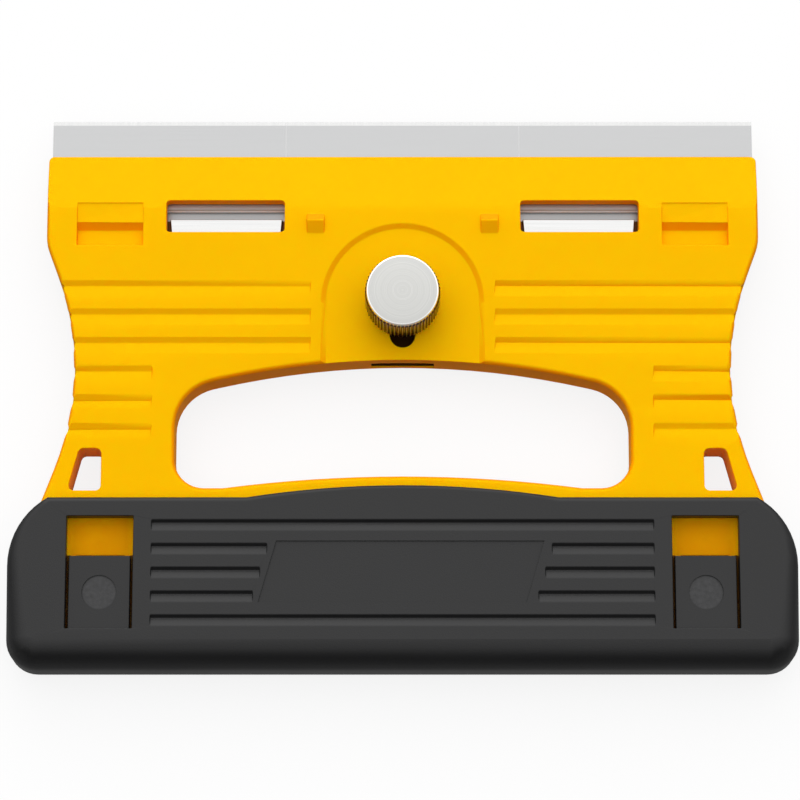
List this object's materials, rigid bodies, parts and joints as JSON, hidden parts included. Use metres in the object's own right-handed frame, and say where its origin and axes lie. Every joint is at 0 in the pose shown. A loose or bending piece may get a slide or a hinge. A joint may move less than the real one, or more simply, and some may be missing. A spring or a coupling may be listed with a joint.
{
  "type": "razor scraper",
  "caption": "Wide hand scraper: moulded body with a finger loop, sliding blade carriage locked by a knurled knob, and a slip-on blade cover worn as a palm rest.",
  "frame": {"origin": "middle of the whole part in X and Y, at the back of the blade cover, which is its lowest face", "axes": "+X along the row of blades, +Y from the palm rest to the blades' edge, +Z from the back to the knob"},
  "size_m": [0.1316, 0.0956, 0.0173],
  "materials": {
    "yellow_plastic": "fine moulded grain, satin",
    "black_plastic": "fine moulded grain, satin",
    "blade_steel": "fine ground, with a bright bevel",
    "polished_steel": "polished sheet",
    "zinc_steel": "zinc plated",
    "knob_metal": "turned face, straight knurl"
  },
  "bodies": {
    "body": {"front_shell": "yellow_plastic", "rear_shell": "yellow_plastic", "shell_screws": "zinc_steel"},
    "carriage": {"blade_carrier": "polished_steel", "carrier_pins": "zinc_steel", "pressure_bar": "polished_steel", "left_blade": "blade_steel", "middle_blade": "blade_steel", "right_blade": "blade_steel", "clinch_nut": "zinc_steel"},
    "knob": {"knob_washer": "zinc_steel", "knob": "knob_metal", "knob_stud": "zinc_steel"},
    "cover": {"blade_cover": "black_plastic"}
  },
  "joints": [
    {"name": "carriage_slide", "type": "slide", "parent": "body", "child": "carriage", "axis": [0, -1, 0], "range_m": [0, 0.0057]},
    {"name": "knob_turn", "type": "hinge", "parent": "carriage", "child": "knob", "pos_m": [0, 0.0148, 0.0097], "axis": [0, 0, 1], "range_deg": [0, 360]},
    {"name": "cover_slide", "type": "slide", "parent": "body", "child": "cover", "axis": [0, -1, 0], "range_m": [0, 0.03]}
  ]
}
